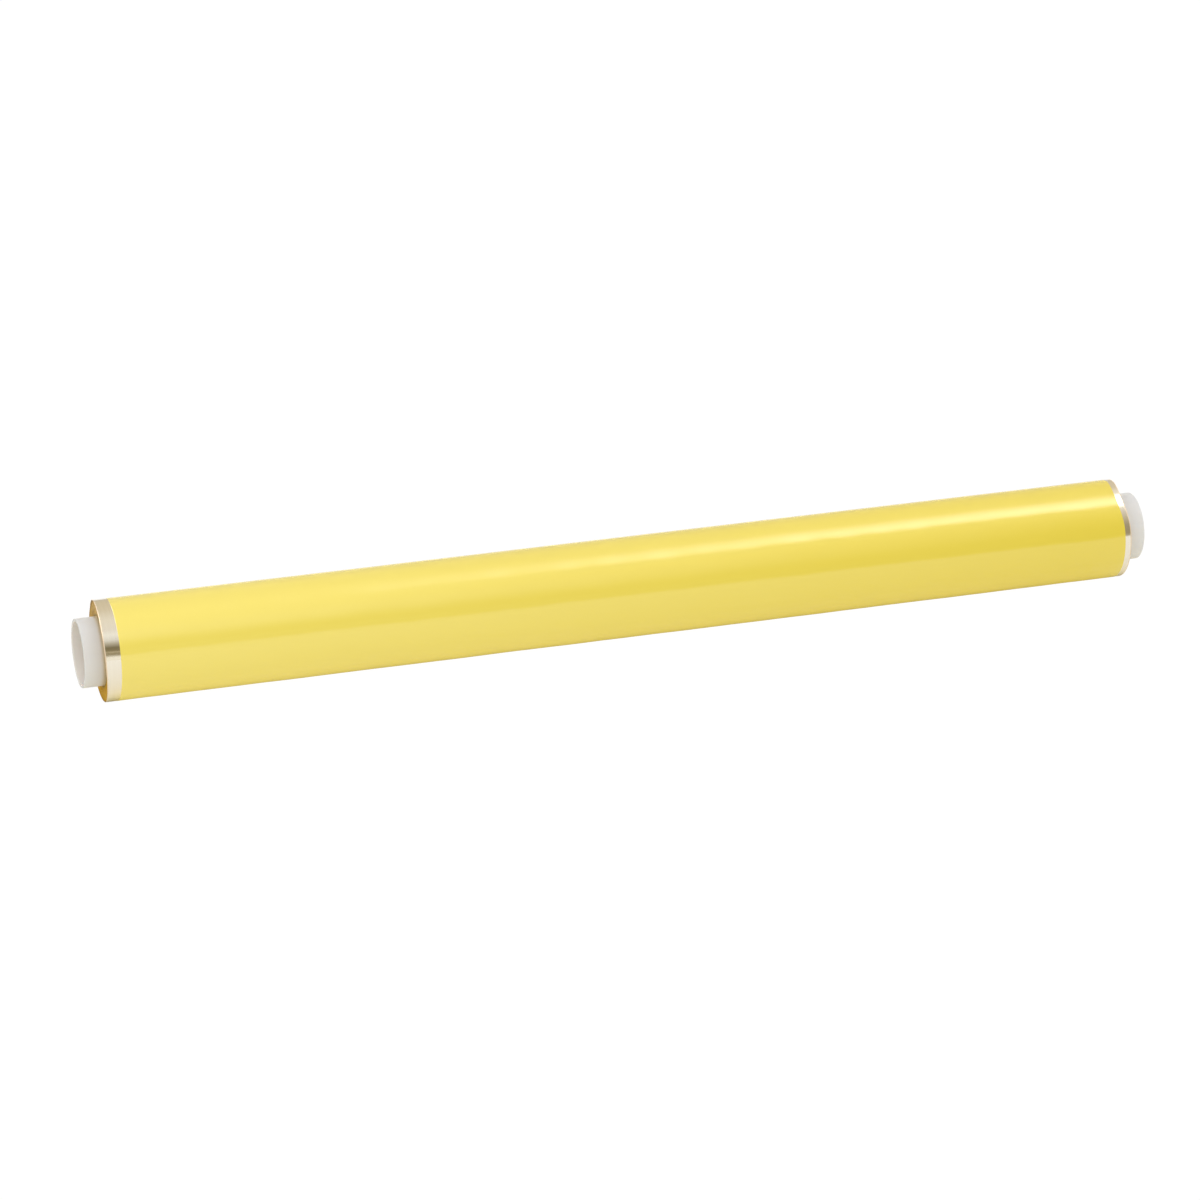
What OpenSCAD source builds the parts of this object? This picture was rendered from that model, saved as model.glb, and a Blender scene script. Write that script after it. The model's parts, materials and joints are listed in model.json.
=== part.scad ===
// A roll of colour film for sign making, wound on an open plastic core.
// The core's axis lies along X and the origin is the middle of the core, with Z up.
// The roll is seen from the front, which faces -Y. Its free end lies on the back, which faces +Y.
// Angles round the core are measured from +Y, through +Z, in degrees.

/* [Core] */
// Length of the core tube, end to end
core_len = 325; // [322:0.5:340]
// Outer diameter of the core tube
core_d = 20.2; // [19:0.1:22]
// Wall of the core tube
core_wall = 0.8; // [0.6:0.1:1.5]
// Rounding of the core tube's ends
core_edge = 0.25; // [0.1:0.05:0.25]

/* [Film] */
// Width of the film web, from rim to rim
film_w = 312.5; // [300:0.5:316]
// Diameter of the full roll, over the colour coat
roll_d = 29.8; // [27:0.1:40]
// How far the middle of the film lies from the middle of the core
film_shift = 0; // [-1:0.1:1]
// Bare margin of carrier film at the -X end
margin_left = 3.5; // [1:0.1:8]
// Bare margin of carrier film at the +X end
margin_right = 1.9; // [1:0.1:8]

/* [Film layers] */
// Thickness that stands for the carrier film
carrier_t = 0.15; // [0.1:0.05:0.2]
// Thickness that stands for the colour coat
coat_t = 0.1; // [0.05:0.05:0.15]

/* [Free end] */
// Angle at which the free end leaves the roll
tail_root = 62; // [50:1:64]
// Angle that the film wraps from there to its cut edge
tail_wrap = 50; // [30:1:60]

/* [Closing tape] */
// Width of the tape, along the roll
tape_w = 19; // [12:1:30]
// Angle of tape stuck on the free end
tape_hold = 26; // [15:1:29]
// Angle of tape past the cut edge, with the folded grip
tape_past = 30; // [20:1:36]
// Thickness of the tape
tape_t = 0.1; // [0.05:0.05:0.15]

/* [Anchor strip] */
// Length of the strip that sticks the film's inner end to the core
anchor_len = 290; // [200:5:295]
// Angle of core that the strip covers
anchor_wrap = 80; // [40:5:120]
// Thickness of the strip
anchor_t = 0.1; // [0.05:0.05:0.15]

/* [Hidden] */

// Room between two layers of one body
lay_gap = 0.02;
// Room between the roll and the pieces that lift off it
lift_gap = 0.06;
// Room between the two halves of the tape at their fold
fold_gap = 0.5;
// Angle of the tab's end that is folded back double, for the grip
grip_wrap = 8;

core_r = core_d / 2;
bore_r = core_r - core_wall;
roll_r = roll_d / 2;
film_x0 = film_shift - film_w / 2;
coat_x0 = film_x0 + margin_left;
coat_w = film_w - margin_left - margin_right;
turn_r = roll_r - coat_t - lay_gap;
winding_r = turn_r - carrier_t - lay_gap;
tail_r = roll_r + lift_gap;
tail_coat_r = tail_r + carrier_t + lay_gap;
tape_r = tail_coat_r + coat_t + lay_gap;
cut_angle = tail_root - tail_wrap;
// The fold of the tape lies over the film's cut edge
fold_wrap = fold_gap / tape_r * 180 / PI;

// Turns a shape that was built about Z so that its axis lies along X, its own +X at +Y and its own +Y at +Z
module about_core(x_start) {
  translate([x_start, 0, 0]) rotate([90, 0, 90]) children();
}

// A full ring about the core, from radius r_in to r_out, that starts at x_start and is len long
module ring(x_start, len, r_in, r_out) {
  about_core(x_start) rotate_extrude($fn = 256) translate([r_in, 0]) square([r_out - r_in, len]);
}

// A stretch of such a ring, from angle start to angle start + wrap
module ring_part(x_start, len, r_in, r_out, start, wrap) {
  about_core(x_start)
    rotate([0, 0, start])
      rotate_extrude(angle = wrap, $fn = 256)
        translate([r_in, 0]) square([r_out - r_in, len]);
}

// Wall of the core tube: a strip with a round at each corner
module core_wall_outline() {
  translate([bore_r + core_edge, 0]) square([core_wall - 2 * core_edge, core_len]);
  translate([bore_r, core_edge]) square([core_wall, core_len - 2 * core_edge]);
  for (r = [bore_r + core_edge, core_r - core_edge], z = [core_edge, core_len - core_edge])
    translate([r, z]) circle(r = core_edge, $fn = 32);
}

// Open plastic tube that the film is wound on, and that a spindle goes through
module core_tube() {
  color([0.93, 0.93, 0.91])
    about_core(-core_len / 2) rotate_extrude($fn = 256) core_wall_outline();
}

// Thin adhesive strip on the core, under the first turn of film
module anchor_strip() {
  color([0.85, 0.83, 0.75])
    ring_part(film_shift - anchor_len / 2, anchor_len, core_r + lay_gap, core_r + lay_gap + anchor_t,
              -anchor_wrap / 2, anchor_wrap);
}

// All the turns of film under the outermost one, with the hollow that the anchor strip fills
module film_winding() {
  hollow = anchor_wrap + 4;
  color([0.78, 0.66, 0.42])
    difference() {
      ring(film_x0, film_w, core_r + lay_gap, winding_r);
      ring_part(film_shift - anchor_len / 2 - 1, anchor_len + 2, core_r - 1, core_r + 2 * lay_gap + anchor_t,
                -hollow / 2, hollow);
    }
}

// Outermost turn of clear carrier film, bare at both rims
module outer_turn() {
  color([0.86, 0.82, 0.74]) ring(film_x0, film_w, winding_r + lay_gap, turn_r);
}

// Colour coat on the outermost turn, narrower than the film
module colour_coat() {
  color([0.96, 0.87, 0.42]) ring(coat_x0, coat_w, turn_r + lay_gap, roll_r);
}

// Carrier film of the free end, from where it leaves the roll to its cut edge
module film_tail() {
  color([0.86, 0.82, 0.74])
    ring_part(film_x0, film_w, tail_r, tail_r + carrier_t, cut_angle, tail_wrap);
}

// Colour coat on the free end
module tail_coat() {
  color([0.96, 0.87, 0.42])
    ring_part(coat_x0, coat_w, tail_coat_r, tail_coat_r + coat_t, cut_angle, tail_wrap);
}

// The half of the closing tape that is stuck on the free end
module closing_tape() {
  color([0.9, 0.92, 0.92])
    ring_part(film_shift - tape_w / 2, tape_w, tape_r, tape_r + tape_t, cut_angle + fold_wrap / 2, tape_hold);
}

// The half of the tape past the cut edge, folded back double at its end for the grip
module tape_tab() {
  color([0.9, 0.92, 0.92])
    union() {
      ring_part(film_shift - tape_w / 2, tape_w, tape_r, tape_r + tape_t,
                cut_angle - fold_wrap / 2 - tape_past, tape_past);
      ring_part(film_shift - tape_w / 2, tape_w, tape_r, tape_r + 2 * tape_t,
                cut_angle - fold_wrap / 2 - tape_past, grip_wrap);
    }
}

core_tube();
anchor_strip();
film_winding();
outer_turn();
colour_coat();
film_tail();
tail_coat();
closing_tape();
tape_tab();
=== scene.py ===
"""Roll of colour film for sign making: the visible pieces, their materials and a plain studio."""

import json
import math
import random

import bmesh
import bpy
from bpy.props import FloatProperty, FloatVectorProperty, IntProperty, PointerProperty
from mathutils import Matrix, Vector, noise
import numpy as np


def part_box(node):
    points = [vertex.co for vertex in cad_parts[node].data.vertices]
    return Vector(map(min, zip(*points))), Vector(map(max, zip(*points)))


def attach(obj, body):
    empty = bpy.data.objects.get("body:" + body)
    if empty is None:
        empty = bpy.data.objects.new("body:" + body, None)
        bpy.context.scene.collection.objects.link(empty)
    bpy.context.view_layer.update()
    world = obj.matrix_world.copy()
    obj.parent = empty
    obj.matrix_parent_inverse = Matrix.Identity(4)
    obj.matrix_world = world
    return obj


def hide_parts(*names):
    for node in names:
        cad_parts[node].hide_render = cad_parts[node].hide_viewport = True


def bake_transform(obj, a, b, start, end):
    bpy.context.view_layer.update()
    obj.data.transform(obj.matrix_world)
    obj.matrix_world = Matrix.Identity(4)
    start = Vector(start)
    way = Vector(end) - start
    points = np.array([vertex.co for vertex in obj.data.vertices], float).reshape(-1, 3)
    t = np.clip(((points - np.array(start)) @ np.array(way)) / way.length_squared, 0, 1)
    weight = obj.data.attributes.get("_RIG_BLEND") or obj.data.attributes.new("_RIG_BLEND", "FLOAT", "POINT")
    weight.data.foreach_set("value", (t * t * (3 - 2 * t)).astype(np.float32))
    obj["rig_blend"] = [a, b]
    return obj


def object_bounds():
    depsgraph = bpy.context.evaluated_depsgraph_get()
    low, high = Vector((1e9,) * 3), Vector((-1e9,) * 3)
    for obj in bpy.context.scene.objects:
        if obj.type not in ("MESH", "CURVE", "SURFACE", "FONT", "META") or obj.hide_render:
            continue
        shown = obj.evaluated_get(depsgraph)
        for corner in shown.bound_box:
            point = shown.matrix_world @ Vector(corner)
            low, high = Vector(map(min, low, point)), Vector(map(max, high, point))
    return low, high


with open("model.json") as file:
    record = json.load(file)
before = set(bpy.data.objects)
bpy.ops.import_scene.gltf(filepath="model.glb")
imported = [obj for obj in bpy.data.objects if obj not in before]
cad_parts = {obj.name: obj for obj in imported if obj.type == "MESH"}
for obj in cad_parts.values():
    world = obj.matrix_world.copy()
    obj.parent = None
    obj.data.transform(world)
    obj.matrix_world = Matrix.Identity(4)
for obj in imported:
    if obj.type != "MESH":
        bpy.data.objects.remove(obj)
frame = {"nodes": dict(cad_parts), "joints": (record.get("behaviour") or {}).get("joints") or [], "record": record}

bl_info = {
    "name": "Roll of sign film",
    "version": (1, 0, 0),
    "blender": (4, 5, 0),
    "location": "View3D > Sidebar > Sign roll",
    "description": "Builds a roll of colour film on a plastic core, with a taped free end",
    "category": "Add Mesh",
}

MM = 0.001
COLUMNS = 150  # faces along the coated part of a sheet
ROWS = 288  # faces round the outermost turn
TAIL_ROWS = 40  # faces round the free end
AIR_GAP = 0.01 * MM  # between one turn of film and the next
COAT_GAP = 0.002 * MM  # between the film and its coat
TAPE_GAP = 0.004 * MM  # between the tape and what it is stuck on
TAIL_BEND = 5 * MM  # length over which the free end bends at its root
RIM_OUT = 1.1 * MM  # how far the outermost turn's left rim stands out past the turns below
RIM_OUT_ANGLE = math.radians(142)
DRAWN_IN = 0.7 * MM  # how far its right part is drawn in
DRAWN_IN_ANGLE = math.radians(118)
WINDING_GAP = 0.09 * MM  # room for the slack of the outermost turn
# Slopes that the film's left end, middle and right end mirror to the camera
LEFT_SLOPE, MIDDLE_SLOPE, RIGHT_SLOPE = 0.166, 0.276, 0.387
ROOM_TILT = 38.0  # degrees that the room's level lines sink for each unit of slope
TABLE_EDGE = 5.0  # height of the table's far edge, in degrees
CAD_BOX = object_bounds()
CORE_LOW, CORE_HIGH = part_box("core_tube")
WEB_LOW, WEB_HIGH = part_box("film_winding")
COAT_LOW, COAT_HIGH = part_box("colour_coat")
TAPE_LOW, TAPE_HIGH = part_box("closing_tape")
JOINT_PLACE = {joint["name"]: joint["pos_m"] for joint in frame["joints"]}
MOUNTS = {mount["name"]: mount for mount in frame["record"]["mounts"]}


def angle_round_core(place):
    """Angle of a point round the core, from +Y through +Z."""
    return math.atan2(place[2], place[1])


# Sizes and colours that a user may change


class CoreSettings(bpy.types.PropertyGroup):
    """Core tube that the film is wound on"""

    outer_radius: FloatProperty(
        name="Outer radius", description="Radius of the core's outside",
        default=CORE_HIGH.z, min=0.005, max=0.05, precision=5, unit="LENGTH")
    bore_radius: FloatProperty(
        name="Bore radius", description="Radius of the hole that a spindle goes through",
        default=MOUNTS["core_bore"]["dims"]["r_mm"] * MM, min=0.004, max=0.049, precision=5, unit="LENGTH")
    edge_round: FloatProperty(
        name="Edge round", description="Rounding of the tube's ends",
        default=0.25 * MM, min=0.05 * MM, max=0.35 * MM, precision=5, unit="LENGTH")
    colour: FloatVectorProperty(
        name="Core colour", description="Milky plastic of the core",
        default=(0.735, 0.735, 0.727), size=3, min=0, max=1, subtype="COLOR")


class FilmSettings(bpy.types.PropertyGroup):
    """Film web, its colour coat and the way it lies on the roll"""

    roll_radius: FloatProperty(
        name="Roll radius", description="Radius over the colour coat where the free end begins",
        default=COAT_HIGH.z, min=0.01, max=0.1, precision=5, unit="LENGTH")
    film_thickness: FloatProperty(
        name="Film thickness", description="Thickness drawn for the clear carrier film",
        default=0.05 * MM, min=0.01 * MM, max=0.2 * MM, precision=6, unit="LENGTH")
    coat_thickness: FloatProperty(
        name="Coat thickness", description="Thickness drawn for the colour coat",
        default=0.04 * MM, min=0.01 * MM, max=0.2 * MM, precision=6, unit="LENGTH")
    tail_root: FloatProperty(
        name="Free end's root", description="Angle at which the free end lifts off the roll",
        default=angle_round_core(JOINT_PLACE["tail_lift"]), subtype="ANGLE")
    tail_cut: FloatProperty(
        name="Cut edge", description="Angle of the film's cut edge",
        default=angle_round_core(JOINT_PLACE["tab_peel"]), subtype="ANGLE")
    ripple_height: FloatProperty(
        name="Ripple height", description="Height of the slack ripples in the outermost turn",
        default=0.05 * MM, min=0, max=0.3 * MM, precision=6, unit="LENGTH")
    ripple_length: FloatProperty(
        name="Ripple length", description="Usual distance from one ripple to the next along the roll",
        default=9 * MM, min=2 * MM, max=100 * MM, precision=5, unit="LENGTH")
    coat_colour: FloatVectorProperty(
        name="Coat colour", description="Colour coat of the film",
        default=(0.868, 0.692, 0.080), size=3, min=0, max=1, subtype="COLOR")
    rim_colour: FloatVectorProperty(
        name="Rim colour", description="Bright stack of bare film at both rims",
        default=(0.92, 0.86, 0.72), size=3, min=0, max=1, subtype="COLOR")
    edge_colour: FloatVectorProperty(
        name="Edge colour", description="Edges of the wound turns, seen at the roll's ends",
        default=(0.54, 0.35, 0.095), size=3, min=0, max=1, subtype="COLOR")


class TapeSettings(bpy.types.PropertyGroup):
    """Closing tape that holds the free end down"""

    thickness: FloatProperty(
        name="Tape thickness", description="Thickness of the tape",
        default=0.06 * MM, min=0.02 * MM, max=0.2 * MM, precision=6, unit="LENGTH")
    hold_angle: FloatProperty(
        name="Held angle", description="Angle of tape stuck on the free end",
        default=math.radians(26.9), subtype="ANGLE")
    tab_angle: FloatProperty(
        name="Tab angle", description="Angle of tape past the cut edge",
        default=math.radians(30.9), subtype="ANGLE")
    grip_angle: FloatProperty(
        name="Grip angle", description="Angle of the tab's end that is folded back double",
        default=math.radians(8), subtype="ANGLE")
    tooth_pitch: FloatProperty(
        name="Tooth pitch", description="Distance between the teeth that the dispenser left",
        default=1.0 * MM, min=0.4 * MM, max=3 * MM, precision=5, unit="LENGTH")
    tooth_depth: FloatProperty(
        name="Tooth depth", description="Depth of those teeth",
        default=0.35 * MM, min=0, max=1 * MM, precision=5, unit="LENGTH")


class StudioSettings(bpy.types.PropertyGroup):
    """Floor, light and camera"""

    view_azimuth: FloatProperty(
        name="View azimuth", description="Side that the camera stands on, from the front towards -X",
        default=math.radians(16.88), subtype="ANGLE")
    view_elevation: FloatProperty(
        name="View elevation", description="Height of the camera over the horizon",
        default=math.radians(23.62), subtype="ANGLE")
    target_x: FloatProperty(
        name="Target", description="Place along the roll that the camera looks at",
        default=-0.2 * MM, precision=5, unit="LENGTH")
    view_distance: FloatProperty(
        name="View distance", description="From the middle of the film to the camera",
        default=1.4534, min=0.2, max=10, unit="LENGTH")
    lens: FloatProperty(
        name="Lens", description="Focal length on a 36 mm sensor",
        default=147.66, min=20, max=400, unit="CAMERA")
    shift_x: FloatProperty(
        name="Shift across", description="Camera shift across, as a share of the picture", default=-0.01663)
    shift_y: FloatProperty(
        name="Shift up", description="Camera shift up, as a share of the picture", default=-0.0103)
    softbox_strength: FloatProperty(
        name="Softbox", description="Brightness of the softbox's reflection", default=3.3, min=0)
    window_strength: FloatProperty(
        name="Window", description="Brightness of the broad light on the left, seen only as a haze",
        default=6.8, min=0)
    dome_strength: FloatProperty(
        name="Dome", description="Brightness of the even light round the roll", default=1.0, min=0)
    key_strength: FloatProperty(
        name="Key light", description="Light that the lamp on the left adds, as a share of the dome's",
        default=0.12, min=0)


# Mesh helpers


def new_piece(name, bm, materials, body=None):
    """Turns a finished bmesh into a smooth-shaded object that rides on a body."""
    mesh = bpy.data.meshes.new(name)
    bm.to_mesh(mesh)
    bm.free()
    for material in materials:
        mesh.materials.append(material)
        lay_out(material.node_tree)
    mesh.shade_smooth()
    mesh.set_sharp_from_angle(angle=math.radians(40))
    piece = bpy.data.objects.new(name, mesh)
    bpy.context.scene.collection.objects.link(piece)
    if body:
        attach(piece, body)
    return piece


def chain(bm, places):
    """A line of vertices joined by edges."""
    verts = [bm.verts.new(place) for place in places]
    edges = [bm.edges.new(pair) for pair in zip(verts, verts[1:])]
    return verts + edges


def face_outwards(bm):
    """Turns an open sheet round the core so that most of its surface looks away from the axis."""
    bm.normal_update()
    outwards = 0
    for face in bm.faces:
        middle = face.calc_center_median()
        outwards += face.calc_area() * face.normal.dot(Vector((0, middle.y, middle.z)))
    if outwards < 0:
        bmesh.ops.reverse_faces(bm, faces=bm.faces[:])
    bm.normal_update()


def even_steps(low, high, count):
    """Places from low to high with count equal steps between them."""
    return [low + (high - low) * i / count for i in range(count + 1)]


def turned_from(angle, middle):
    """Signed angle from the middle, within half a turn either way."""
    return (angle - middle + math.pi) % math.tau - math.pi


def ripple(x, angle, film):
    """Height of the slack film over a true cylinder. It fades at the root of the free end."""
    radius = film.roll_radius
    place = Vector((x / film.ripple_length,
                    radius * math.cos(angle) / film.ripple_length,
                    radius * math.sin(angle) / film.ripple_length))
    broad = noise.noise(place * 0.45 + Vector((3.1, 0, 0)))
    fine = noise.noise(place + Vector((0, 7.7, 0)))
    past_root = abs(turned_from(angle, film.tail_root))
    return film.ripple_height * (1.4 * broad + fine) * min(1, past_root / 0.6)


def wander(x, angle):
    """Sideways shift of the outermost turn, which is wound a little askew: its left rim stands out past
    the turns below, and its right part is drawn in at the upper front."""
    out = RIM_OUT * max(0, math.cos(min(0.85 * abs(turned_from(angle, RIM_OUT_ANGLE)), math.pi)))
    if x < COAT_LOW.x:
        return -out * (COAT_LOW.x - x) / (COAT_LOW.x - WEB_LOW.x)
    upper = abs(turned_from(angle, DRAWN_IN_ANGLE))
    drawn_in = DRAWN_IN * max(0, math.cos(min(2.1 * upper, math.pi))) ** 2
    return -drawn_in * min(1, (x - COAT_LOW.x) / (COAT_HIGH.x - COAT_LOW.x))


def pitch(film):
    """Growth of the roll's radius in one turn of the film that is drawn."""
    return film.film_thickness + film.coat_thickness + AIR_GAP


def wrapped_sheet(xs, film, start, sweep, rows, depth, thickness):
    """A sheet of the film wound on the roll: it starts at an angle, wraps through sweep, and follows
    the roll's spiral. depth is how far its outside lies under the colour coat's."""
    bm = bmesh.new()
    first = [(x, math.cos(start) * film.roll_radius, math.sin(start) * film.roll_radius) for x in xs]
    bmesh.ops.spin(bm, geom=chain(bm, first), cent=(0, 0, 0), axis=(1, 0, 0),
                   angle=sweep, steps=rows, use_merge=False, use_duplicate=False)
    bm.verts.ensure_lookup_table()
    along = bm.verts.layers.float.new("along")
    for vert in bm.verts:
        angle = start + sweep * (vert.index // len(xs)) / rows
        spiral = pitch(film) * (film.tail_root - angle) / math.tau
        radius = film.roll_radius + spiral - depth + ripple(vert.co.x, angle, film)
        vert[along] = vert.co.x
        vert.co.x += wander(vert.co.x, angle)
        vert.co.y = math.cos(angle) * radius
        vert.co.z = math.sin(angle) * radius
    face_outwards(bm)
    bmesh.ops.solidify(bm, geom=bm.faces[:], thickness=thickness)
    bmesh.ops.recalc_face_normals(bm, faces=bm.faces[:])
    return bm


# Material helpers


def new_material(name):
    """An empty node material with its Principled shader."""
    material = bpy.data.materials.new(name)
    material.use_nodes = True
    return material, material.node_tree, material.node_tree.nodes["Principled BSDF"]


def add(tree, kind, **values):
    """A node with its settings and the values of its inputs."""
    node = tree.nodes.new(kind)
    for key, value in values.items():
        if key in node.inputs:
            node.inputs[key].default_value = value
        else:
            setattr(node, key, value)
    return node


def set_inputs(node, values):
    """Sets a node's inputs from a dictionary."""
    for key, value in values.items():
        node.inputs[key].default_value = value


def ramp(tree, value, stops):
    """A value put through a colour ramp with the given (position, grey or colour) stops."""
    node = add(tree, "ShaderNodeValToRGB")
    elements = node.color_ramp.elements
    while len(elements) > 1:
        elements.remove(elements[-1])
    for index, (position, colour) in enumerate(stops):
        element = elements[0] if index == 0 else elements.new(position)
        element.position = position
        element.color = (*colour, 1) if isinstance(colour, (tuple, list)) else (colour, colour, colour, 1)
    tree.links.new(value, node.inputs[0])
    return node.outputs[0]


def mix(tree, factor, first, second, blend="MIX"):
    """A colour mix; each argument is a socket, or a plain value."""
    node = add(tree, "ShaderNodeMix", data_type="RGBA", blend_type=blend)
    for socket, value in ((node.inputs[0], factor), (node.inputs[6], first), (node.inputs[7], second)):
        if isinstance(value, bpy.types.NodeSocket):
            tree.links.new(value, socket)
        elif isinstance(value, (int, float)):
            socket.default_value = value
        else:
            socket.default_value = (*value, 1)
    return node.outputs[2]


def calc(tree, operation, *values):
    """A math node; each value is a socket or a number."""
    node = add(tree, "ShaderNodeMath", operation=operation)
    for socket, value in zip(node.inputs, values):
        if isinstance(value, bpy.types.NodeSocket):
            tree.links.new(value, socket)
        else:
            socket.default_value = value
    return node.outputs[0]


def spread(tree, value, low, high, smooth=False):
    """Maps a socket's range from low to high onto 0 to 1."""
    node = add(tree, "ShaderNodeMapRange", interpolation_type="SMOOTHSTEP" if smooth else "LINEAR")
    set_inputs(node, {"From Min": low, "From Max": high})
    tree.links.new(value, node.inputs["Value"])
    return node.outputs["Result"]


def object_place(tree):
    """The place on the object, as a vector."""
    return add(tree, "ShaderNodeTexCoord").outputs["Object"]


def parts(tree, place):
    """The x, y and z of a place."""
    node = add(tree, "ShaderNodeSeparateXYZ")
    tree.links.new(place, node.inputs[0])
    return node.outputs


def from_axis(tree, y, z):
    """Distance from the core's axis."""
    across = add(tree, "ShaderNodeCombineXYZ")
    tree.links.new(y, across.inputs["X"])
    tree.links.new(z, across.inputs["Y"])
    radius = add(tree, "ShaderNodeVectorMath", operation="LENGTH")
    tree.links.new(across.outputs[0], radius.inputs[0])
    return radius.outputs["Value"]


def grain(tree, place, **values):
    """Noise over a place, or over one value where it has a single dimension."""
    node = add(tree, "ShaderNodeTexNoise", **values)
    tree.links.new(place, node.inputs["W" if "noise_dimensions" in values else "Vector"])
    return node.outputs[0]


def stretched(tree, place, scale):
    """A place with its own scale along each axis."""
    node = add(tree, "ShaderNodeMapping", Scale=scale)
    tree.links.new(place, node.inputs["Vector"])
    return node.outputs[0]


def lay_out(tree):
    """Puts every node one column to the left of what it feeds."""
    columns = {}

    def visit(node, column):
        if columns.get(node.name, -1) < column:
            columns[node.name] = column
            for link in (link for socket in node.inputs for link in socket.links):
                visit(link.from_node, column + 1)

    for node in tree.nodes:
        if not any(socket.is_linked for socket in node.outputs):
            visit(node, 0)
    heights = {}
    for node in tree.nodes:
        column = columns[node.name]
        node.location = (-220 * column, heights.get(column, 0))
        heights[column] = heights.get(column, 0) - 220


def new_group(name, inputs, output):
    """An empty shader node group with (name, default) inputs and one output, all plain numbers."""
    group = bpy.data.node_groups.new(name, "ShaderNodeTree")
    for socket_name, default in inputs:
        socket = group.interface.new_socket(name=socket_name, in_out="INPUT", socket_type="NodeSocketFloat")
        socket.default_value = default
    group.interface.new_socket(name=output, in_out="OUTPUT", socket_type="NodeSocketFloat")
    return group, add(group, "NodeGroupInput").outputs, add(group, "NodeGroupOutput").inputs[output]


def film_waves_group():
    """Fine waves, orange peel and streaks of thin glossy film, as a height in metres."""
    group, given, put = new_group(
        "Film waves",
        [("Wave length", 4 * MM), ("Wave height", 0.004 * MM), ("Peel height", 0.0004 * MM),
         ("Streak height", 0.0)], "Height")
    place = object_place(group)
    waves = grain(group, place, Detail=2.0, Roughness=0.45)
    group.links.new(calc(group, "DIVIDE", 1.0, given["Wave length"]), waves.node.inputs["Scale"])
    peel = grain(group, place, Scale=1300.0, Detail=1.0)
    streaks = grain(group, stretched(group, place, (60, 1100, 1100)), Scale=1.0, Detail=1.0)
    total = calc(group, "ADD", calc(group, "MULTIPLY", waves, given["Wave height"]),
                 calc(group, "MULTIPLY", peel, given["Peel height"]))
    total = calc(group, "ADD", total, calc(group, "MULTIPLY", streaks, given["Streak height"]))
    group.links.new(total, put)
    return group


def handling_group():
    """Roughness of a smooth surface with faint smudges, from a clean value to a smudged one."""
    group, given, put = new_group(
        "Handling smudges", [("Clean", 0.05), ("Smudged", 0.12), ("Size", 60.0)], "Roughness")
    patches = grain(group, object_place(group), Detail=4.0, Roughness=0.6)
    group.links.new(given["Size"], patches.node.inputs["Scale"])
    roughness = spread(group, patches, 0.42, 0.75)
    group.links.new(given["Clean"], roughness.node.inputs["To Min"])
    group.links.new(given["Smudged"], roughness.node.inputs["To Max"])
    group.links.new(roughness, put)
    return group


def shared(tree, name, maker, values):
    """The result of a shared node group, placed with a material's own values."""
    node = add(tree, "ShaderNodeGroup")
    if name not in bpy.data.node_groups:
        lay_out(maker())
    node.node_tree = bpy.data.node_groups[name]
    set_inputs(node, values)
    return node.outputs[0]


def smudges(tree, clean, smudged, size):
    """Roughness with faint smudges."""
    values = {"Clean": clean, "Smudged": smudged, "Size": size}
    return shared(tree, "Handling smudges", handling_group, values)


def bump(tree, height, shader):
    """Feeds a height in metres to a shader's normal."""
    node = add(tree, "ShaderNodeBump", Strength=1.0, Distance=1.0)
    tree.links.new(height, node.inputs["Height"])
    tree.links.new(node.outputs[0], shader.inputs["Normal"])
    return node.outputs[0]


def film_bump(tree, shader, length, wave, peel=0.0, streak=0.0):
    """Waves, orange peel and streaks of film, as heights of the shader's surface."""
    values = {"Wave length": length, "Wave height": wave, "Peel height": peel, "Streak height": streak}
    return bump(tree, shared(tree, "Film waves", film_waves_group, values), shader)


def coat_colour_mix(tree, colour, depth):
    """The coat's colour, faintly mottled, with painted light and haze that make it paler towards the left end of
    the roll and deeper towards the right.
    """
    place = object_place(tree)
    # Painted light and haze: the coat is paler and whiter towards the left end, where more light falls, and deeper
    # towards the right end.
    pale = tuple(min(1, c * k * d) for c, k, d in zip(colour, (1.0, 1.03, 1.4), depth))
    full = tuple(c * k * d for c, k, d in zip(colour, (0.91, 0.90, 0.46), depth))
    painted_shading_gradient = mix(tree, spread(tree, parts(tree, place)["X"], COAT_LOW.x, COAT_HIGH.x), pale, full)
    mottle = mix(tree, grain(tree, place, Scale=35.0, Detail=3.0), (0.985, 0.98, 0.92), (1.0, 1.0, 1.0))
    return mix(tree, 1.0, painted_shading_gradient, mottle, blend="MULTIPLY")


def coat_material(colour):
    """Glossy colour coat: a deep colour with faint mottling and painted light that pales it towards the left end,
    under a mirror-smooth skin.
    """
    material, tree, shader = new_material("Colour coat")
    tree.links.new(coat_colour_mix(tree, colour, (1, 1, 1)), shader.inputs["Base Color"])
    tree.links.new(smudges(tree, 0.50, 0.56, 22.0), shader.inputs["Roughness"])
    set_inputs(shader, {"IOR": 1.5, "Specular IOR Level": 0.42, "Coat Weight": 1.0, "Coat Roughness": 0.04,
                        "Coat IOR": 1.75})
    normal = film_bump(tree, shader, 7 * MM, 0.008 * MM, 0.0002 * MM, 0.0008 * MM)
    tree.links.new(normal, shader.inputs["Coat Normal"])
    return material


def seen_through_material(colour):
    """Colour coat seen from behind through the clear film: the same colour, a little deeper."""
    material, tree, shader = new_material("Coat through film")
    # The painted light that pales the coat towards the left end comes along with its colour here.
    tree.links.new(coat_colour_mix(tree, colour, (0.93, 0.88, 0.75)), shader.inputs["Base Color"])
    tree.links.new(smudges(tree, 0.10, 0.2, 30.0), shader.inputs["Roughness"])
    film_bump(tree, shader, 7 * MM, 0.008 * MM)
    set_inputs(shader, {"IOR": 1.55})
    return material


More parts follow.
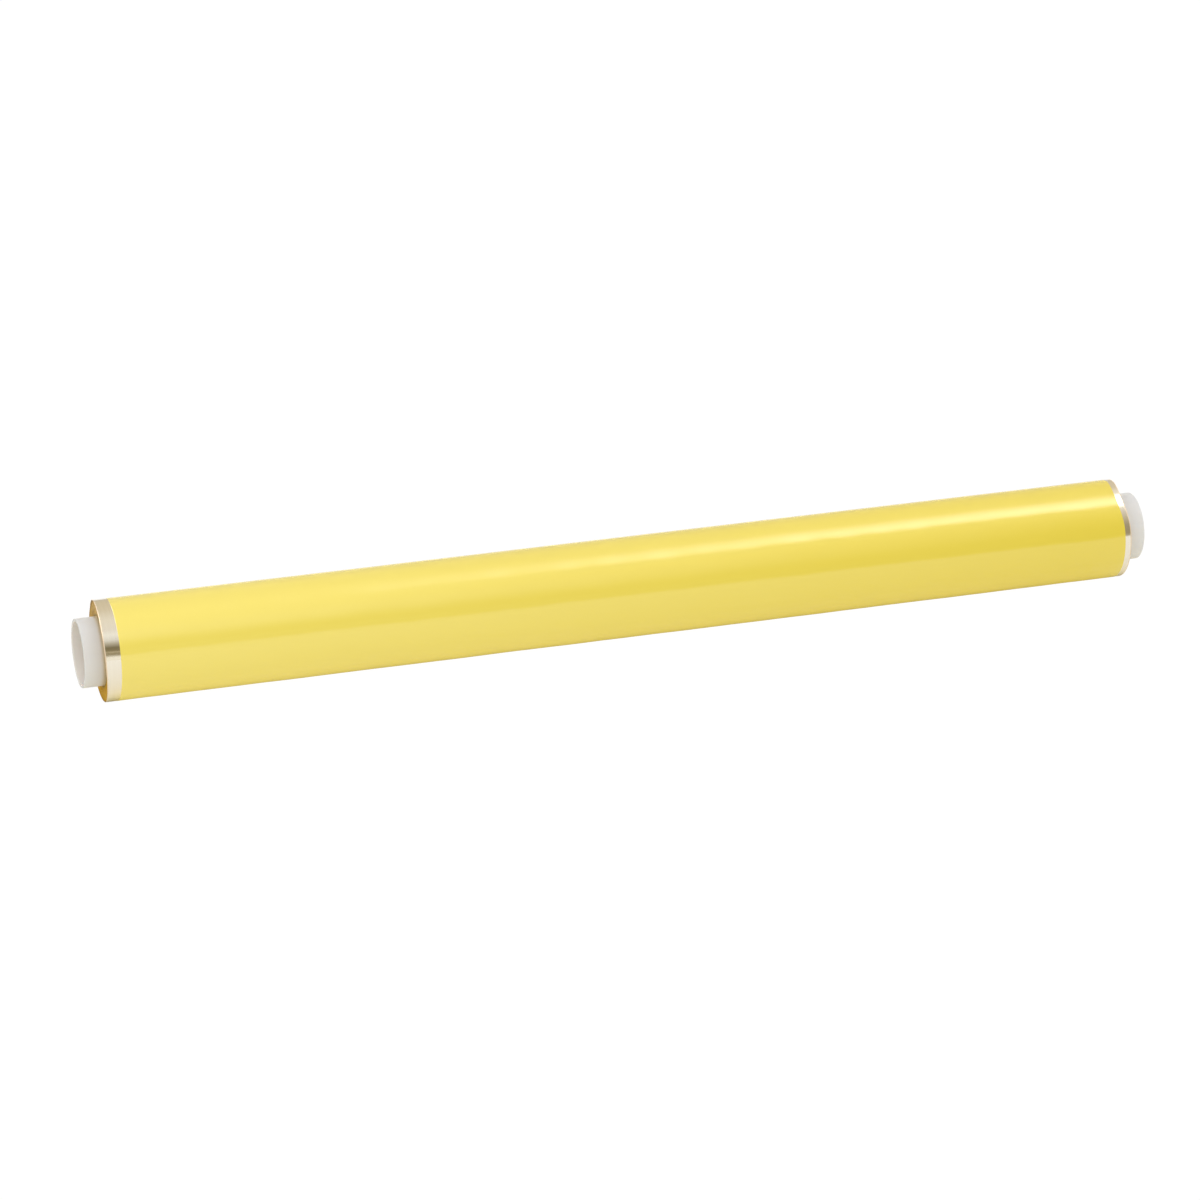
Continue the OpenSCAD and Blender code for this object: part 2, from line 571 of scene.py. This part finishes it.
def clear_film_material():
    """Bare carrier film: thin, clear and glossy."""
    material, tree, shader = new_material("Clear film")
    set_inputs(shader, {"Base Color": (0.97, 0.96, 0.93, 1), "IOR": 1.5, "Transmission Weight": 1.0})
    tree.links.new(smudges(tree, 0.02, 0.06, 80.0), shader.inputs["Roughness"])
    film_bump(tree, shader, 5 * MM, 0.002 * MM)
    return material


def rim_material(colour):
    """Many turns of bare film, which together shine like pale metal, with faint lines round the roll.
    The outermost part of each rim is duller and warmer, where the turns' edges scatter light."""
    material, tree, shader = new_material("Bare film stack")
    x = parts(tree, object_place(tree))["X"]
    lines = grain(tree, x, noise_dimensions="1D", Scale=2600.0, Detail=2.0)
    deep = tuple(c * k for c, k in zip(colour, (0.95, 0.94, 0.91)))
    along = add(tree, "ShaderNodeAttribute", attribute_name="along").outputs["Fac"]
    half = (WEB_HIGH.x - WEB_LOW.x) / 2
    off_middle = calc(tree, "ABSOLUTE", calc(tree, "SUBTRACT", along, (WEB_HIGH.x + WEB_LOW.x) / 2))
    rim = spread(tree, off_middle, half - 0.32 * MM, half - 0.16 * MM, smooth=True)
    shade = mix(tree, rim, mix(tree, lines, deep, colour), (0.78, 0.62, 0.43))
    tree.links.new(shade, shader.inputs["Base Color"])
    duller = calc(tree, "MULTIPLY_ADD", rim, 0.35, smudges(tree, 0.07, 0.12, 80.0))
    tree.links.new(duller, shader.inputs["Roughness"])
    tree.links.new(calc(tree, "MULTIPLY_ADD", rim, -0.75, 1.0), shader.inputs["Metallic"])
    film_bump(tree, shader, 5 * MM, 0.003 * MM)
    return material


def film_edge_material(colour):
    """Edges of hundreds of turns: fine rings, gold-brown, with painted shade that makes them deeper low down and
    dark next to the core.
    """
    material, tree, shader = new_material("Wound film edges")
    _, y, z = parts(tree, object_place(tree))
    radius = from_axis(tree, y, z)
    rings = grain(tree, radius, noise_dimensions="1D", Scale=4200.0, Detail=3.0, Roughness=0.7)
    # Painted shade: the end faces are darker and deeper gold low down, where less light reaches them.
    low = tuple(c * k for c, k in zip(colour, (1.12, 1.0, 0.19)))
    painted_shading_gradient = mix(tree, spread(tree, z, -9 * MM, 9 * MM), low, colour)
    grooves = mix(tree, rings, (0.78, 0.72, 0.6), (1.15, 1.2, 1.3))
    shade = mix(tree, 1.0, painted_shading_gradient, grooves, blend="MULTIPLY")
    # Painted shade: a dark ring on the end faces next to the core, where the turns meet it.
    painted_crease_shade = spread(tree, radius, CORE_HIGH.z + 1.1 * MM, CORE_HIGH.z + 0.3 * MM, smooth=True)
    shade = mix(tree, calc(tree, "MULTIPLY", painted_crease_shade, 0.5), shade, (0.17, 0.125, 0.045))
    tree.links.new(shade, shader.inputs["Base Color"])
    bump(tree, calc(tree, "MULTIPLY", rings, 0.02 * MM), shader)
    set_inputs(shader, {"Roughness": 0.6, "Specular IOR Level": 0.12, "IOR": 1.5})
    return material


def core_material(colour):
    """Milky, slightly see-through plastic with the faint streaks of extrusion along the tube. Its cut ends
    are duller, its bore is warmer, and the plastic next to the film has a painted warm tint of the film's
    reflected light and shade."""
    material, tree, shader = new_material("Milky core plastic")
    place = object_place(tree)
    x, y, z = parts(tree, place)
    off_middle = calc(tree, "ABSOLUTE", x)
    streaks = grain(tree, stretched(tree, place, (12, 420, 420)), Scale=1.0, Detail=3.0)
    shade = mix(tree, streaks, tuple(c * k for c, k in zip(colour, (0.965, 0.955, 0.94))), colour)
    cut = spread(tree, off_middle, CORE_HIGH.x - 0.14 * MM, CORE_HIGH.x - 0.06 * MM)
    shade = mix(tree, cut, shade, tuple(c * 0.86 for c in colour))
    bore = spread(tree, from_axis(tree, y, z), CORE_HIGH.z - 0.5 * MM, CORE_HIGH.z - 0.75 * MM)
    shade = mix(tree, bore, shade, (0.84, 0.805, 0.77))
    # Painted light and shade: a darker warm tint on the plastic next to the film, standing in for the film's
    # reflected light and its shade, the same all round.
    painted_film_bounce = spread(tree, off_middle, WEB_HIGH.x + 1.6 * MM, WEB_HIGH.x, smooth=True)
    shade = mix(tree, calc(tree, "MULTIPLY", painted_film_bounce, 0.8), shade, (0.55, 0.43, 0.20))
    tree.links.new(shade, shader.inputs["Base Color"])
    duller = calc(tree, "MULTIPLY_ADD", cut, 0.4, smudges(tree, 0.45, 0.55, 90.0))
    tree.links.new(duller, shader.inputs["Roughness"])
    bump(tree, calc(tree, "MULTIPLY", streaks, 0.006 * MM), shader)
    set_inputs(shader, {"IOR": 1.5, "Specular IOR Level": 0.12, "Subsurface Weight": 0.3,
                        "Subsurface Scale": 1.2 * MM, "Subsurface Radius": (1.0, 0.85, 0.7)})
    return material


def tape_material():
    """Clear adhesive tape with a faint haze and a few trapped bubbles."""
    material, tree, shader = new_material("Clear tape")
    bubbles = add(tree, "ShaderNodeTexVoronoi", Scale=420.0)
    tree.links.new(object_place(tree), bubbles.inputs["Vector"])
    haze = ramp(tree, bubbles.outputs["Distance"], [(0.0, 0.62), (0.16, 0.34), (0.3, 0.22), (1.0, 0.22)])
    tree.links.new(haze, shader.inputs["Alpha"])
    tree.links.new(smudges(tree, 0.12, 0.28, 200.0), shader.inputs["Roughness"])
    film_bump(tree, shader, 3 * MM, 0.01 * MM, 0.0005 * MM)
    set_inputs(shader, {"Base Color": (0.93, 0.93, 0.88, 1), "IOR": 1.47})
    return material


def adhesive_material():
    """Double-sided adhesive strip: cream and slightly mottled."""
    material, tree, shader = new_material("Anchor adhesive")
    mottle = grain(tree, object_place(tree), Scale=900.0, Detail=5.0)
    tree.links.new(mix(tree, mottle, (0.66, 0.62, 0.5), (0.82, 0.79, 0.68)), shader.inputs["Base Color"])
    bump(tree, calc(tree, "MULTIPLY", mottle, 0.02 * MM), shader)
    set_inputs(shader, {"Roughness": 0.6})
    return material


def floor_material():
    """Pale floor: white paper to the camera, and to the roll a table with a painted shadow and painted yellow
    light from the roll under it.
    """
    material, tree, shader = new_material("Pale floor")
    place = object_place(tree)
    path = add(tree, "ShaderNodeLightPath").outputs
    mottle = grain(tree, place, Scale=40.0, Detail=2.0)
    shade = mix(tree, mottle, (0.33, 0.33, 0.32), (0.35, 0.35, 0.34))
    # Painted shadow and light: the table that the roll mirrors is darker and yellower near the line where the roll
    # sits.
    gap = spread(tree, calc(tree, "ABSOLUTE", parts(tree, place)["Y"]), 4 * MM, 20 * MM)
    painted_shadow_and_bounce = ramp(tree, gap, [
        (0.0, (0.72, 0.68, 0.46)), (0.21, (0.84, 0.82, 0.64)), (0.35, (0.96, 0.94, 0.80)),
        (0.53, (0.98, 0.96, 0.90)), (0.74, (0.95, 0.94, 0.93)), (1.0, (0.91, 0.91, 0.92))])
    tree.links.new(mix(tree, path["Is Glossy Ray"], shade, painted_shadow_and_bounce), shader.inputs["Base Color"])
    fill = calc(tree, "MULTIPLY_ADD", path["Is Glossy Ray"], -0.59, 0.62)
    tree.links.new(fill, shader.inputs["Emission Strength"])
    set_inputs(shader, {"Roughness": 1.0, "Specular IOR Level": 0.0,
                        "Emission Color": (1.0, 0.98, 0.86, 1)})
    paper = add(tree, "ShaderNodeEmission", Color=(1, 1, 1, 1), Strength=1.03)
    both = add(tree, "ShaderNodeMixShader")
    tree.links.new(calc(tree, "MULTIPLY", path["Is Camera Ray"], 0.93), both.inputs[0])
    tree.links.new(shader.outputs[0], both.inputs[1])
    tree.links.new(paper.outputs[0], both.inputs[2])
    tree.links.new(both.outputs[0], tree.nodes["Material Output"].inputs["Surface"])
    lay_out(tree)
    return material


# Operators, one for each piece or group of like pieces


class SIGNROLL_OT_core_tube(bpy.types.Operator):
    """Open plastic tube that the film is wound on"""

    bl_idname = "signroll.core_tube"
    bl_label = "Core tube"

    def execute(self, context):
        core = context.scene.signroll_core
        low, high = CORE_LOW.x, CORE_HIGH.x
        corners = [(low, 0, core.bore_radius), (high, 0, core.bore_radius),
                   (high, 0, core.outer_radius), (low, 0, core.outer_radius)]
        bm = bmesh.new()
        ring = chain(bm, corners)
        verts = ring[:4]
        bm.edges.new((verts[-1], verts[0]))
        bmesh.ops.bevel(bm, geom=verts, offset=core.edge_round, segments=5, profile=0.5,
                        affect="VERTICES", material=-1)
        long_edges = [edge for edge in bm.edges if edge.calc_length() > 0.1]
        bmesh.ops.subdivide_edges(bm, edges=long_edges, cuts=12)
        bmesh.ops.spin(bm, geom=bm.verts[:] + bm.edges[:], cent=(0, 0, 0), axis=(1, 0, 0),
                       angle=math.tau, steps=192, use_merge=True, use_duplicate=False)
        bmesh.ops.remove_doubles(bm, verts=bm.verts[:], dist=0.001 * MM)
        bmesh.ops.recalc_face_normals(bm, faces=bm.faces[:])
        piece = new_piece("core_wall", bm, [core_material(core.colour)], "roll")
        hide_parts("core_tube")
        return {"FINISHED"}


class SIGNROLL_OT_anchor_strip(bpy.types.Operator):
    """Adhesive strip under the first turn, which keeps its own mesh and gets its material"""

    bl_idname = "signroll.anchor_strip"
    bl_label = "Anchor strip"

    def execute(self, context):
        strip = frame["nodes"]["anchor_strip"]
        strip.data.materials.clear()
        material = adhesive_material()
        lay_out(material.node_tree)
        strip.data.materials.append(material)
        return {"FINISHED"}


class SIGNROLL_OT_wound_film(bpy.types.Operator):
    """All the turns under the outermost one, with their edges as fine steps at both ends"""

    bl_idname = "signroll.wound_film"
    bl_label = "Wound film"

    def execute(self, context):
        film = context.scene.signroll_film
        inner = context.scene.signroll_core.outer_radius + 0.02 * MM
        outer = film.roll_radius - pitch(film) - film.coat_thickness - film.film_thickness - WINDING_GAP
        draw = random.Random(11)
        rings = 46

        def end_face(x, outwards):
            """Outline of one end face from the core out: each ring stands a little proud or shy."""
            places = []
            for index in range(rings):
                radius = inner + (outer - inner) * index / rings
                depth = draw.uniform(0.0, 0.10) * MM
                if rings - 5 <= index < rings - 2:
                    depth = 0.16 * MM
                places.append((x - outwards * depth, radius))
                places.append((x - outwards * depth, radius + (outer - inner) * 0.8 / rings))
            places.append((x - outwards * 0.01 * MM, outer - 0.02 * MM))
            return places

        left = end_face(WEB_LOW.x, -1)
        right = end_face(WEB_HIGH.x, 1)
        surface = [(x, outer) for x in even_steps(WEB_LOW.x + 0.02 * MM, WEB_HIGH.x - 0.02 * MM, 40)]
        outline = left + surface + right[::-1]
        bm = bmesh.new()
        verts = chain(bm, [(x, 0, radius) for x, radius in outline])[:len(outline)]
        bm.edges.new((verts[-1], verts[0]))
        bmesh.ops.spin(bm, geom=bm.verts[:] + bm.edges[:], cent=(0, 0, 0), axis=(1, 0, 0),
                       angle=math.tau, steps=200, use_merge=True, use_duplicate=False)
        bmesh.ops.remove_doubles(bm, verts=bm.verts[:], dist=0.0005 * MM)
        bmesh.ops.recalc_face_normals(bm, faces=bm.faces[:])
        for face in bm.faces:
            middle = face.calc_center_median()
            if math.hypot(middle.y, middle.z) > outer - 0.015 * MM:
                face.material_index = 1
        for vert in bm.verts:
            if vert.co.x > COAT_HIGH.x:
                share = (math.hypot(vert.co.y, vert.co.z) - outer + 2.5 * MM) / (2.5 * MM)
                vert.co.x += max(0, share) * wander(vert.co.x, math.atan2(vert.co.z, vert.co.y))
        piece = new_piece("wound_film", bm, [film_edge_material(film.edge_colour),
                                             rim_material(film.rim_colour)], "roll")
        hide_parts("film_winding")
        return {"FINISHED"}


def film_columns(count):
    """Places along the roll for the clear film, with a column at each edge of the colour coat."""
    middle = even_steps(COAT_LOW.x, COAT_HIGH.x, count)
    return (even_steps(WEB_LOW.x, COAT_LOW.x, 3)[:-1] + middle + even_steps(COAT_HIGH.x, WEB_HIGH.x, 3)[1:])


def paint_coated_part(bm):
    """Gives the faces under the colour coat the second material."""
    along = bm.verts.layers.float["along"]
    for face in bm.faces:
        x = sum(vert[along] for vert in face.verts) / len(face.verts)
        if COAT_LOW.x < x < COAT_HIGH.x:
            face.material_index = 1


class SIGNROLL_OT_clear_film(bpy.types.Operator):
    """Clear carrier film: the outermost turn and the free end"""

    bl_idname = "signroll.clear_film"
    bl_label = "Clear film"

    def execute(self, context):
        film = context.scene.signroll_film
        through = seen_through_material(film.coat_colour)
        depth = film.coat_thickness + COAT_GAP
        turn = wrapped_sheet(film_columns(COLUMNS), film, film.tail_root, math.tau, ROWS, depth,
                             film.film_thickness)
        paint_coated_part(turn)
        piece = new_piece("film_outer_turn", turn, [rim_material(film.rim_colour), through], "roll")
        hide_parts("outer_turn")
        tail = wrapped_sheet(film_columns(COLUMNS), film, film.tail_cut, film.tail_root - film.tail_cut,
                             TAIL_ROWS, depth, film.film_thickness)
        paint_coated_part(tail)
        free_end = new_piece("film_free_end", tail, [clear_film_material(), through])
        bend_with_tail(free_end, film)
        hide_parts("film_tail")
        return {"FINISHED"}


def bend_with_tail(piece, film):
    """The piece stays on the roll at its root and turns with the free end past a short bend."""
    root = Vector(JOINT_PLACE["tail_lift"])
    along = Vector((0, math.sin(film.tail_root), -math.cos(film.tail_root)))
    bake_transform(piece, "roll", "tail", start=root, end=root + along * TAIL_BEND)


class SIGNROLL_OT_colour_coat(bpy.types.Operator):
    """Colour coat on the outermost turn and on the free end"""

    bl_idname = "signroll.colour_coat"
    bl_label = "Colour coat"

    def execute(self, context):
        film = context.scene.signroll_film
        material = coat_material(film.coat_colour)
        columns = even_steps(COAT_LOW.x, COAT_HIGH.x, COLUMNS)
        turn = wrapped_sheet(columns, film, film.tail_root, math.tau, ROWS, 0, film.coat_thickness)
        piece = new_piece("coat_outer_turn", turn, [material], "roll")
        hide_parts("colour_coat")
        tail = wrapped_sheet(columns, film, film.tail_cut, film.tail_root - film.tail_cut, TAIL_ROWS,
                             0, film.coat_thickness)
        free_end = new_piece("coat_free_end", tail, [material])
        bend_with_tail(free_end, film)
        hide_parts("tail_coat")
        return {"FINISHED"}


class SIGNROLL_OT_closing_tape(bpy.types.Operator):
    """Clear tape over the cut edge, with a toothed end and a folded grip"""

    bl_idname = "signroll.closing_tape"
    bl_label = "Closing tape"

    def execute(self, context):
        film = context.scene.signroll_film
        tape = context.scene.signroll_tape
        half_tooth = tape.tooth_pitch / 2
        count = round((TAPE_HIGH.x - TAPE_LOW.x) / half_tooth)
        columns = even_steps(TAPE_LOW.x, TAPE_HIGH.x, count)

        def lie(angle):
            """Radius of what the tape lies on, with a soft step down at the film's cut edge."""
            spiral = pitch(film) * (film.tail_root - angle) / math.tau
            past = (film.tail_cut - angle) * film.roll_radius / (0.5 * MM)
            step = pitch(film) * min(1, max(0, past))
            return film.roll_radius + spiral - step + TAPE_GAP

        top = film.tail_cut + tape.hold_angle
        end = film.tail_cut - tape.tab_angle
        down = [(angle, lie(angle) + tape.thickness) for angle in even_steps(top, end, 64)]
        fold = [(end - 0.006, lie(end) + tape.thickness * 1.6)]
        back = [(angle, lie(angle) + tape.thickness * 2.2)
                for angle in even_steps(end, end + tape.grip_angle, 12)]
        profile = down + fold + back
        bm = bmesh.new()
        first = [(columns[0], radius * math.cos(angle), radius * math.sin(angle))
                 for angle, radius in profile]
        line = chain(bm, first)
        for x, previous in zip(columns[1:], columns):
            edges = [part for part in line if isinstance(part, bmesh.types.BMEdge)]
            line = bmesh.ops.extrude_edge_only(bm, edges=edges)["geom"]
            new_verts = [part for part in line if isinstance(part, bmesh.types.BMVert)]
            bmesh.ops.translate(bm, verts=new_verts, vec=(x - previous, 0, 0))
        top_place = Vector(first[0])
        for vert in bm.verts:
            if (Vector((top_place.x, vert.co.y, vert.co.z)) - top_place).length < 0.001 * MM:
                tooth = round((vert.co.x - columns[0]) / half_tooth) % 2
                turned = top + tooth * tape.tooth_depth / film.roll_radius
                radius = lie(turned) + tape.thickness
                vert.co.y, vert.co.z = radius * math.cos(turned), radius * math.sin(turned)
        for vert in bm.verts:
            outwards = Vector((0, vert.co.y, vert.co.z)).normalized()
            vert.co += outwards * ripple(vert.co.x, math.atan2(vert.co.z, vert.co.y), film)
        face_outwards(bm)
        bmesh.ops.solidify(bm, geom=bm.faces[:], thickness=tape.thickness)
        bmesh.ops.recalc_face_normals(bm, faces=bm.faces[:])
        piece = new_piece("closing_tape_strip", bm, [tape_material()])
        fold_line = Vector(JOINT_PLACE["tab_peel"])
        along = Vector((0, math.sin(film.tail_cut), -math.cos(film.tail_cut)))
        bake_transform(piece, "tail", "tab", start=fold_line - along * 0.4 * MM, end=fold_line + along * 2 * MM)
        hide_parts("closing_tape", "tape_tab")
        return {"FINISHED"}


class SIGNROLL_OT_studio(bpy.types.Operator):
    """Pale floor, soft light and the camera"""

    bl_idname = "signroll.studio"
    bl_label = "Studio"

    def execute(self, context):
        studio = context.scene.signroll_studio
        self.make_floor(context)
        self.make_room(context, studio)
        self.make_key_light(context, studio)
        self.make_camera(context, studio)
        return {"FINISHED"}

    def make_floor(self, context):
        bm = bmesh.new()
        bmesh.ops.create_grid(bm, x_segments=1, y_segments=1, size=6)
        bmesh.ops.translate(bm, verts=bm.verts[:], vec=(0, 0, CAD_BOX[0].z))
        mesh = bpy.data.meshes.new("studio_floor")
        bm.to_mesh(mesh)
        bm.free()
        floor = bpy.data.objects.new("studio_floor", mesh)
        context.scene.collection.objects.link(floor)
        mesh.materials.append(floor_material())

    def make_room(self, context, studio):
        """White round the roll, an even dome that lights it, and the room that it mirrors: a pale table,
        a dim gap over its far edge, bright cards above, one softbox and a window on each side.

        A direction has a height, in degrees from the front horizon up and over, and a slope, which is how
        far it leans along the roll. The roll's ends mirror different slopes."""
        world = bpy.data.worlds.new("Studio room")
        context.scene.world = world
        world.use_nodes = True
        tree = world.node_tree
        x, y, z = parts(tree, add(tree, "ShaderNodeTexCoord").outputs["Generated"])

        squares = calc(tree, "ADD", calc(tree, "MULTIPLY", y, y), calc(tree, "MULTIPLY", z, z))
        slope = calc(tree, "DIVIDE", x, calc(tree, "SQRT", squares))
        aside = calc(tree, "MINIMUM", calc(tree, "MAXIMUM", slope, 0.0), 0.6)
        height = calc(tree, "DEGREES", calc(tree, "ARCTAN2", z, calc(tree, "MULTIPLY", y, -1.0)))
        level = calc(tree, "MULTIPLY_ADD", calc(tree, "SUBTRACT", aside, MIDDLE_SLOPE), ROOM_TILT, height)
        things = grain(tree, aside, noise_dimensions="1D", Scale=170.0, Detail=1.5)
        uneven = calc(tree, "MULTIPLY", calc(tree, "SUBTRACT", things, 0.5), spread(tree, aside, 0.55, 0.1))
        table_edge = calc(tree, "ABSOLUTE", calc(tree, "SUBTRACT", level, TABLE_EDGE))
        near_edge = spread(tree, table_edge, 14.0, 5.0)
        level = calc(tree, "MULTIPLY_ADD", calc(tree, "MULTIPLY", uneven, near_edge), 14.0, level)
        share = calc(tree, "DIVIDE", calc(tree, "ADD", level, 20.0), 220.0)

        def cards(stops):
            """Colours of the room from the table's edge up and over, at heights in degrees."""
            return ramp(tree, share, [((degrees + 20) / 220, colour) for degrees, colour in stops])

        left = cards([
            (4.3, (0.95, 0.93, 0.88)), (5.5, (0.40, 0.35, 0.25)), (10, (0.30, 0.26, 0.16)),
            (12.6, (0.30, 0.26, 0.16)), (13.4, (0.62, 0.55, 0.40)), (14.6, (0.58, 0.50, 0.36)),
            (15.6, (0.26, 0.22, 0.13)), (24, (0.20, 0.17, 0.10)), (33, (0.50, 0.47, 0.40)),
            (41, (0.80, 0.80, 0.79)), (53, (0.96, 0.97, 0.98)), (65, (0.86, 0.83, 0.80)),
            (89, (0.84, 0.80, 0.73)), (120, (0.72, 0.65, 0.53)), (160, (0.66, 0.59, 0.46)),
            (176, (0.60, 0.55, 0.46))])
        right = cards([
            (4.3, (0.93, 0.91, 0.85)), (6.2, (0.48, 0.44, 0.34)), (12, (0.36, 0.31, 0.21)),
            (33, (0.39, 0.34, 0.24)), (49, (0.55, 0.49, 0.38)), (65, (0.72, 0.67, 0.60)),
            (77, (0.92, 0.90, 0.88)), (110, (0.95, 0.94, 0.92)), (125, (0.88, 0.82, 0.74)),
            (138, (0.72, 0.65, 0.55)), (160, (0.70, 0.62, 0.50)), (176, (0.62, 0.57, 0.48))])
        room = mix(tree, spread(tree, aside, LEFT_SLOPE, RIGHT_SLOPE), left, right)

        def between(value, start, full, whole, stop):
            """Rises from 0 at start to 1 at full, and falls from 1 at whole to 0 at stop."""
            return calc(tree, "MULTIPLY", spread(tree, value, start, full, smooth=True),
                        spread(tree, value, stop, whole, smooth=True))

        sideways = calc(tree, "MULTIPLY", spread(tree, aside, 0.18, 0.42, smooth=True),
                        spread(tree, slope, 1.2, 0.8, smooth=True))
        shape = calc(tree, "MULTIPLY", sideways, between(level, 76.0, 90.0, 92.0, 118.0))
        softbox = calc(tree, "MULTIPLY", shape, studio.softbox_strength)
        west = between(slope, 0.05, -0.10, -1.4, -2.2)
        east = between(slope, 0.55, 0.90, 2.0, 2.8)
        turned = calc(tree, "MODULO", calc(tree, "ADD", height, 360.0), 360.0)
        over = calc(tree, "MULTIPLY", spread(tree, turned, 35.0, 85.0), spread(tree, turned, 175.0, 115.0))
        window = calc(tree, "MULTIPLY", calc(tree, "MULTIPLY", calc(tree, "ADD", west, east), over),
                      studio.window_strength)
        lit = mix(tree, 1.0, mix(tree, 1.0, room, softbox, blend="ADD"), window, blend="ADD")

        dome = mix(tree, spread(tree, z, 0.0, 1.0), (1.01, 1.0, 0.98), (0.91, 0.905, 0.92))
        dome = mix(tree, spread(tree, x, -0.1, -1.0), dome, (0.78, 0.77, 0.755))
        path = add(tree, "ShaderNodeLightPath").outputs
        mirrored = mix(tree, path["Is Glossy Ray"], dome, lit)
        back = tree.nodes["Background"]
        tree.links.new(mix(tree, path["Is Camera Ray"], mirrored, (1, 1, 1)), back.inputs["Color"])
        back.inputs["Strength"].default_value = studio.dome_strength
        lay_out(tree)

    def make_key_light(self, context, studio):
        """A large soft lamp on the left, too broad and too close to show in the roll as a shape."""
        light = bpy.data.lights.new("key_light", "AREA")
        light.shape = "DISK"
        light.size = 1.2
        place = Vector((-0.5, -0.8, 1.2))
        light.energy = studio.key_strength * math.pi * 4 * place.length_squared
        lamp = bpy.data.objects.new("key_light", light)
        lamp.location = place
        lamp.rotation_mode = "QUATERNION"
        lamp.rotation_quaternion = (-place).to_track_quat("-Z", "Y")
        context.scene.collection.objects.link(lamp)
        lamp.visible_camera = False
        lamp.visible_glossy = False

    def make_camera(self, context, studio):
        middle = Vector((studio.target_x, 0, 0))
        level = math.cos(studio.view_elevation)
        back = Vector((-math.sin(studio.view_azimuth) * level, -math.cos(studio.view_azimuth) * level,
                       math.sin(studio.view_elevation)))
        data = bpy.data.cameras.new("studio_camera")
        data.lens = studio.lens
        data.sensor_width = 36
        data.shift_x = studio.shift_x
        data.shift_y = studio.shift_y
        data.clip_start = 0.01
        data.clip_end = 50
        camera = bpy.data.objects.new("studio_camera", data)
        camera.location = middle + back * studio.view_distance
        camera.rotation_mode = "QUATERNION"
        camera.rotation_quaternion = (-back).to_track_quat("-Z", "Y")
        context.scene.collection.objects.link(camera)
        context.scene.camera = camera
        context.scene.view_settings.view_transform = "Standard"


class SIGNROLL_PT_sidebar(bpy.types.Panel):
    """Lists the roll's settings and its pieces"""

    bl_idname = "SIGNROLL_PT_sidebar"
    bl_label = "Sign roll"
    bl_space_type = "VIEW_3D"
    bl_region_type = "UI"
    bl_category = "Sign roll"

    def draw(self, context):
        layout = self.layout
        for name in SETTINGS:
            box = layout.box()
            settings = getattr(context.scene, name)
            box.label(text=type(settings).__doc__)
            for key in type(settings).__annotations__:
                box.prop(settings, key)
        for operator in OPERATORS:
            layout.operator(operator.bl_idname)


SETTINGS = {
    "signroll_core": CoreSettings,
    "signroll_film": FilmSettings,
    "signroll_tape": TapeSettings,
    "signroll_studio": StudioSettings,
}
OPERATORS = (
    SIGNROLL_OT_core_tube,
    SIGNROLL_OT_anchor_strip,
    SIGNROLL_OT_wound_film,
    SIGNROLL_OT_clear_film,
    SIGNROLL_OT_colour_coat,
    SIGNROLL_OT_closing_tape,
    SIGNROLL_OT_studio,
)
CLASSES = (*SETTINGS.values(), *OPERATORS, SIGNROLL_PT_sidebar)


def register():
    for cls in CLASSES:
        bpy.utils.register_class(cls)
    for name, settings in SETTINGS.items():
        setattr(bpy.types.Scene, name, PointerProperty(type=settings))


def unregister():
    for name in SETTINGS:
        delattr(bpy.types.Scene, name)
    for cls in reversed(CLASSES):
        bpy.utils.unregister_class(cls)


def main():
    register()
    for operator in OPERATORS:
        group, name = operator.bl_idname.split(".")
        getattr(getattr(bpy.ops, group), name)()


if __name__ == "__main__":
    main()
